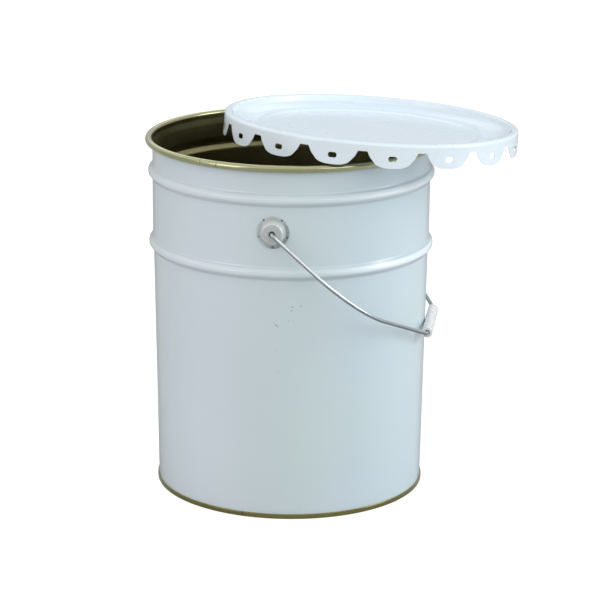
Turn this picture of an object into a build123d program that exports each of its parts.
from build123d import *
import math
import os

# 20 litre steel pail with a lug lid lying askew on its rim and a hanging bail.
# Millimetres, +Z up. The origin is the centre of the standing plane, the bail
# turns about an axis along Y and hangs on the +X side.

os.makedirs("parts", exist_ok=True)

# Sheet and body. Wall radii are to the sheet's centreline.
SHEET = 0.40                   # tinplate thickness
HEIGHT = 365.1                 # standing plane to top of rim curl
BASE_R = 137.0                 # just above the seam
LOWER_TOP_R = 140.8            # under the lower bead
UPPER_R = 141.7                # between the beads
NECK_R = UPPER_R - 0.1         # above the upper bead
NECK_TOP_Z = 351.5
TAPER_START_Z = 5.2
LOWER_BEAD_Z, LOWER_BEAD_R = 255.7, 145.5
UPPER_BEAD_Z, UPPER_BEAD_R = 329.4, 146.0
BEAD_HALF = 6.7                # half height of a bead at the wall
BEAD_CREST_HALF = 1.7          # half height of its crest
CURL_CENTRE_R = 145.65         # pail axis to the centre of the curl's tube
CURL_TUBE_R = 3.50             # outer radius of that tube
CURL_Z = HEIGHT - CURL_TUBE_R

# Bottom end and double seam
SEAM_PITCH = 0.45              # spacing of the seam's layers
SEAM_TOP = 4.8
SEAM_BOTTOM = SHEET / 2        # lowest centreline of the bottom end
BODY_HOOK_Z = (0.66, 3.9)      # bottom and tip of the body hook
END_HOOK_TIP_Z = 1.6
PANEL_Z = 6.4                  # recessed bottom panel, centreline
PANEL_STEP = 1.5               # rise of the ring pressed in the panel

# Ears
EAR_Z = 297.5                  # bail axis height
EAR_GAUGE = 0.80
EAR_CLEARANCE = 0.02           # between wall and flange
EAR_FLANGE_R = 16.0
EAR_FACE_Y = 149.6             # outside face of the raised centre
EAR_SHOULDER_R = 10.8          # dome corner before rounding
EAR_SHOULDER_FILLET = 2.0
EAR_FOOT_R = 12.2
EAR_FOOT_Y = 142.5
EAR_HOLE_R = 2.70
EAR_PLANE_Y = 120.0            # distance of the ear's working plane from the pail axis
EAR_TOOL_LEN = 60.0            # height of the rings and length of the cylinders used
EAR_TRIM_R = 175.0             # outer radius of the ring trimming the dome
WELD_COUNT = 5
WELD_CIRCLE_R = 14.75
WELD_BALL_R = 1.6
WELD_BALL_OUT = 1.15           # ball centre beyond the flange surface

# Bail wire and grip. S is measured along the ear axis, reach away from it.
WIRE_R = 2.0
BAIL_ANGLE = math.radians(40.4)  # hang of the bail plane below horizontal
BAIL_END_S = 144.4
BAIL_SHANK_S = 152.4
BAIL_WIDE_S = 162.5
BAIL_KNEE_REACH = 112.3
BAIL_MIDDLE_S = 47.5
BAIL_REACH = 191.0
BAIL_HEAD_S = 144.6            # outer face of a head
BAIL_HEAD_R = 3.7
BAIL_HEAD_T = 1.7
BAIL_HEAD_CHAMFER = 0.35
GRIP_R = 5.6
GRIP_BORE_R = 2.45
GRIP_LEN = 87.0
GRIP_EDGE = 0.8

# Lid. Depths are measured down from the crest.
LUGS = 16
LID_SKIRT_R = 149.6            # outside, at the crest
LID_SKIRT_END_R = 150.0        # outside, at the lug tips
LID_DEPTH = 23.8               # to the lug tips
LID_RECESS = 11.1              # to the panel's top face
LID_PANEL_STEP = 0.7           # rise of the ring pressed in the panel
NOTCH_DEPTH = 8.2
NOTCH_TOOL_R, NOTCH_TOOL_T = 145.3, 9.0   # where the notch tool starts, its length
SLOT_DEPTH = 14.6
SLOT_LEN, SLOT_H = 8.6, 5.2
SLOT_CORNER_R = SLOT_H / 2 - 0.35
SLOT_TOOL_R, SLOT_TOOL_T = 144.0, 10.0    # where the slot tool starts, its length
GASKET_R = (143.9, 147.3)      # inner, outer
GASKET_T = 1.7
GASKET_GAP = 0.02
GASKET_EDGE = 0.75
# Resting pose: crest-plane centre, x and y of the normal for z = 1, and the
# turn in degrees of one lug from -Y towards +X
LID_CENTRE = (80.510, 11.392, 382.325)
LID_SLOPE = (0.05415, 0.04639)
LID_PHASE = 13.603


# --- Helpers ---
def rounded_path(points):
    """Straight runs joined by tangent arcs, from points (u, v, fillet radius).

    Returns segments (start, end, centre, radius); a line has centre None.
    """
    corners = [Vector(u, v) for u, v, _ in points]
    segments, current = [], corners[0]
    for i in range(1, len(points) - 1):
        corner, radius = corners[i], points[i][2]
        if radius <= 0:
            segments.append((current, corner, None, 0))
            current = corner
            continue
        back = (corners[i - 1] - corner).normalized()
        ahead = (corners[i + 1] - corner).normalized()
        half_angle = math.acos(max(-1.0, min(1.0, back.dot(ahead)))) / 2
        tangent = radius / math.tan(half_angle)
        arc_start = corner + back * tangent
        arc_end = corner + ahead * tangent
        centre = corner + (back + ahead).normalized() * (radius / math.sin(half_angle))
        if (arc_start - current).length > 1e-6:
            segments.append((current, arc_start, None, 0))
        segments.append((arc_start, arc_end, centre, radius))
        current = arc_end
    if (corners[-1] - current).length > 1e-6:
        segments.append((current, corners[-1], None, 0))
    return segments


def flat(point):
    """(u, v) to the XZ plane."""
    return Vector(point.X, 0, point.Y)


def path_edges(points, offset=0, lift=flat):
    """Edges of the rounded path moved to its left, with its first and last point.

    lift maps (u, v) to 3-D.
    """
    edges, ends = [], []
    for start, end, centre, radius in rounded_path(points):
        if centre is None:
            along = (end - start).normalized()
            shift = Vector(-along.Y, along.X) * offset
            start, end = start + shift, end + shift
            edges.append(Line(lift(start), lift(end)))
        else:
            from_start, from_end = start - centre, end - centre
            anticlockwise = from_start.cross(from_end).Z > 0
            moved_r = radius - offset if anticlockwise else radius + offset
            start = centre + from_start * (moved_r / radius)
            end = centre + from_end * (moved_r / radius)
            middle = centre + (from_start + from_end).normalized() * moved_r
            edges.append(ThreePointArc(lift(start), lift(middle), lift(end)))
        ends += [start, end]
    return edges, ends[0], ends[-1]


def chain(*points):
    """Straight edges through (u, v) points in the XZ plane."""
    return [Line(flat(a), flat(b)) for a, b in zip(points, points[1:])]


def joined(edges):
    return Wire.combine(edges)[0]


def mirrored(points):
    """The path's mirror image in u, run the other way."""
    return [(-u, v, radius) for u, v, radius in reversed(points)]


def sheet_ring(points):
    """Revolve a sheet of even gauge whose centreline runs through the points."""
    left, left_start, left_end = path_edges(points, SHEET / 2)
    right, right_start, right_end = path_edges(points, -SHEET / 2)
    ends = chain(left_end, right_end) + chain(left_start, right_start)
    return revolve(Face(joined(left + right + ends)), Axis.Z, 360)


def ring(inner_r, outer_r, bottom, top):
    """Plain rectangular ring."""
    length = top - bottom
    return Pos(0, 0, bottom) * (
        extrude(Circle(outer_r), length) - extrude(Circle(inner_r), length))


def one(shape):
    """The single solid of a boolean result."""
    solids = shape.solids()
    assert len(solids) == 1, len(solids)
    return solids[0]


def save(shape, name):
    shape.label = name
    export_step(shape, f"parts/{name}.step")


# --- Body shell and bottom end ---
def seam_r(layers):
    """Radius a number of seam layers outside the body wall."""
    return BASE_R + layers * SEAM_PITCH


def bead(z, crest_r, below_r, above_r):
    """Path points of a rolled bead."""
    return [
        (below_r, z - BEAD_HALF, 4.2),
        (crest_r, z - BEAD_CREST_HALF, 2.6),
        (crest_r, z + BEAD_CREST_HALF, 2.6),
        (above_r, z + BEAD_HALF, 4.2),
    ]


def make_body():
    """Body hook, tapered wall, two beads, neck and outward curl."""
    curl_r = CURL_TUBE_R - SHEET / 2
    inner_r, outer_r = CURL_CENTRE_R - curl_r, CURL_CENTRE_R + curl_r
    bottom, top = CURL_Z - curl_r, CURL_Z + curl_r
    # radius, z, fillet; fillets just under half a width leave a short flat between
    hook_bottom, hook_tip = BODY_HOOK_Z
    return sheet_ring([
        (seam_r(2), hook_tip, 0),
        (seam_r(2), hook_bottom, 0.449),
        (BASE_R, hook_bottom, 0.449),
        (BASE_R, TAPER_START_Z, 30),
        *bead(LOWER_BEAD_Z, LOWER_BEAD_R, LOWER_TOP_R, UPPER_R),
        *bead(UPPER_BEAD_Z, UPPER_BEAD_R, UPPER_R, NECK_R),
        (NECK_R, NECK_TOP_Z, 8),
        (inner_r, 357.5, 3),
        (inner_r, top, curl_r),
        (outer_r, top, curl_r - 0.001),
        (outer_r, bottom, curl_r - 0.001),
        (inner_r + 1.3, bottom, 0),
    ])


def make_bottom():
    """Recessed panel, hooked round the body in a double seam."""
    # radius, z, fillet
    return sheet_ring([
        (0, PANEL_Z, 0),
        (96.0, PANEL_Z, 3.0),
        (98.4, PANEL_Z + PANEL_STEP, 2.0),
        (103.6, PANEL_Z + PANEL_STEP, 2.0),
        (106.0, PANEL_Z, 3.0),
        (seam_r(-1), PANEL_Z, 1.6),
        (seam_r(-1), SEAM_BOTTOM, 0.35),
        (seam_r(3), SEAM_BOTTOM, 0.45),
        (seam_r(3), SEAM_TOP, 0.449),
        (seam_r(1), SEAM_TOP, 0.449),
        (seam_r(1), END_HOOK_TIP_Z, 0),
    ])


def make_compound():
    """Sealing compound left in the two voids of the seam."""
    upper = ring(seam_r(1.56), seam_r(2.44), 3.94, 4.30)
    lower = ring(seam_r(0.56), seam_r(1.44), 1.02, 1.54)
    return Compound(children=[one(upper), one(lower)])


# --- Ears ---
EAR_PLANE = Plane((0, -EAR_PLANE_Y, EAR_Z), x_dir=(1, 0, 0), z_dir=(0, -1, 0))


def ear_dome(inset):
    """Solid dome about the ear axis, its outer faces moved in by inset."""
    base = 10
    face = EAR_FACE_Y - EAR_PLANE_Y - inset
    foot_r = EAR_FOOT_R - inset
    edges, _, foot = path_edges([
        (0, face, 0),
        (EAR_SHOULDER_R - inset, face, EAR_SHOULDER_FILLET - 0.6 * inset),
        (foot_r, EAR_FOOT_Y - EAR_PLANE_Y, 0),
    ])
    edges += chain(foot, Vector(foot_r, base), Vector(0, base), Vector(0, face))
    return EAR_PLANE * revolve(Face(joined(edges)), Axis.Z, 360)


def ear_cylinder(radius):
    return EAR_PLANE * extrude(Circle(radius), EAR_TOOL_LEN)


def make_ear():
    """Round pressed cup with a saddle flange, on the -Y side of the wall."""
    inner_r = UPPER_R + SHEET / 2 + EAR_CLEARANCE
    outer_r = inner_r + EAR_GAUGE
    bottom, top = EAR_Z - EAR_TOOL_LEN / 2, EAR_Z + EAR_TOOL_LEN / 2
    flange = ring(inner_r, outer_r, bottom, top) & ear_cylinder(EAR_FLANGE_R)
    dome = ear_dome(0) & ring(inner_r, EAR_TRIM_R, bottom, top)
    ear = (flange + dome) - ear_dome(EAR_GAUGE)
    ear = ear - ear_cylinder(EAR_HOLE_R)
    # spot-weld dimples in the flange
    for i in range(WELD_COUNT):
        angle = math.radians(90 + 360 / WELD_COUNT * (i + 0.5))
        x = WELD_CIRCLE_R * math.cos(angle)
        z = EAR_Z + WELD_CIRCLE_R * math.sin(angle)
        y = -math.sqrt(outer_r ** 2 - x * x)
        ear = ear - Pos(x, y - WELD_BALL_OUT, z) * Sphere(WELD_BALL_R)
    return one(ear)


# --- Bail wire and grip ---
def in_bail(point):
    """(S, reach) to 3-D."""
    return Vector(point.Y * math.cos(BAIL_ANGLE), point.X,
                  EAR_Z - point.Y * math.sin(BAIL_ANGLE))


def make_wire():
    """One bent wire with an upset head inside each ear."""
    # S, reach, fillet
    half = [
        (-BAIL_END_S, 0, 0),
        (-BAIL_SHANK_S, 0, 3.2),
        (-BAIL_WIDE_S, BAIL_KNEE_REACH, 95),
        (-BAIL_MIDDLE_S, BAIL_REACH, 9),
    ]
    edges, _, _ = path_edges(half + mirrored(half), lift=in_bail)
    path = joined(edges)
    start = Plane(origin=path @ 0, z_dir=path % 0)
    wire = sweep(start * Circle(WIRE_R), path).solids()[0]
    for side in (-1, 1):
        plane = Plane((0, side * BAIL_HEAD_S, EAR_Z), z_dir=(0, -side, 0))
        head = plane * extrude(Circle(BAIL_HEAD_R), BAIL_HEAD_T)
        wire = wire + chamfer(head.edges(), BAIL_HEAD_CHAMFER)
    return one(wire)


def make_grip():
    """Loose plastic tube on the straight middle of the wire."""
    centre = in_bail(Vector(0, BAIL_REACH))
    plane = Plane(origin=(centre.X, -GRIP_LEN / 2, centre.Z), z_dir=(0, 1, 0))
    tube = extrude(Circle(GRIP_R), GRIP_LEN)
    tube = fillet(tube.edges(), GRIP_EDGE)
    tube = tube - extrude(Circle(GRIP_BORE_R), GRIP_LEN)
    return one(plane * tube)


# --- Lid, in its own frame with the crest plane at z = 0 ---
def make_notch_tool():
    """Cutter for the gap between two lugs, on the -Y side."""
    half_pitch = math.pi * LID_SKIRT_R / LUGS
    # half width, z, fillet
    half = [
        (0, -NOTCH_DEPTH, 0),
        (4.6, -NOTCH_DEPTH, 1.2),
        (7.0, -13.5, 10.0),
        (13.6, -21.05, 8.0),
        (20.5, -23.5, 20.0),
        (half_pitch + 0.3, -LID_DEPTH - 0.05, 0),
    ]
    right, _, right_end = path_edges(half)
    left, left_start, _ = path_edges(mirrored(half))
    low = -LID_DEPTH - 2.0
    closing = chain(right_end, Vector(right_end.X, low),
                    Vector(left_start.X, low), left_start)
    face = Face(joined(right + left + closing))
    return extrude(Pos(0, -NOTCH_TOOL_R, 0) * face, NOTCH_TOOL_T, dir=(0, -1, 0))


def make_slot_tool():
    """Cutter for the slot in a lug, on the -Y side."""
    slot = RectangleRounded(SLOT_LEN, SLOT_H, SLOT_CORNER_R)
    return Pos(0, -SLOT_TOOL_R, -SLOT_DEPTH) * (Rot(90, 0, 0) * extrude(slot, SLOT_TOOL_T))


def make_lid():
    """Pressed panel, rolled channel and lugged skirt."""
    half_sheet = SHEET / 2
    panel_z = -LID_RECESS - half_sheet
    skirt_r = LID_SKIRT_R - half_sheet
    # radius, z, fillet
    lid = sheet_ring([
        (0, panel_z, 0),
        (108.0, panel_z, 4.0),
        (110.5, panel_z + LID_PANEL_STEP, 2.5),
        (115.5, panel_z + LID_PANEL_STEP, 2.5),
        (118.0, panel_z, 4.0),
        (128.5, panel_z, 9.0),
        (140.6, -6.6, 4.5),
        (142.4, -half_sheet, 2.2),
        (skirt_r, -half_sheet, 2.9),
        (skirt_r, -NOTCH_DEPTH, 30),
        (LID_SKIRT_END_R - half_sheet, -LID_DEPTH, 0),
    ])
    notch_tool, slot_tool = make_notch_tool(), make_slot_tool()
    step = 360 / LUGS
    for i in range(LUGS):
        lid = lid - Rot(0, 0, step * (i + 0.5)) * notch_tool
        lid = lid - Rot(0, 0, step * i) * slot_tool
    return one(lid)


def make_gasket():
    gasket = ring(*GASKET_R, -SHEET - GASKET_T, -SHEET - GASKET_GAP)
    return one(fillet(gasket.edges(), GASKET_EDGE))


def lid_pose():
    """Location of the lid's frame as it lies on the rim."""
    normal = Vector(*LID_SLOPE, 1).normalized()
    x_dir = (Vector(1, 0, 0) - normal * normal.X).normalized()
    plane = Plane(origin=LID_CENTRE, x_dir=x_dir, z_dir=normal)
    return Location(plane) * Rot(0, 0, LID_PHASE)


save(make_body(), "body_shell")
save(make_bottom(), "bottom_end")
save(make_compound(), "seam_compound")
ear_front = make_ear()
save(ear_front, "ear_front")
save(one(Rot(0, 0, 180) * ear_front), "ear_rear")
save(make_wire(), "bail_wire")
save(make_grip(), "grip")
save(one(lid_pose() * make_lid()), "lid")
save(one(lid_pose() * make_gasket()), "lid_gasket")
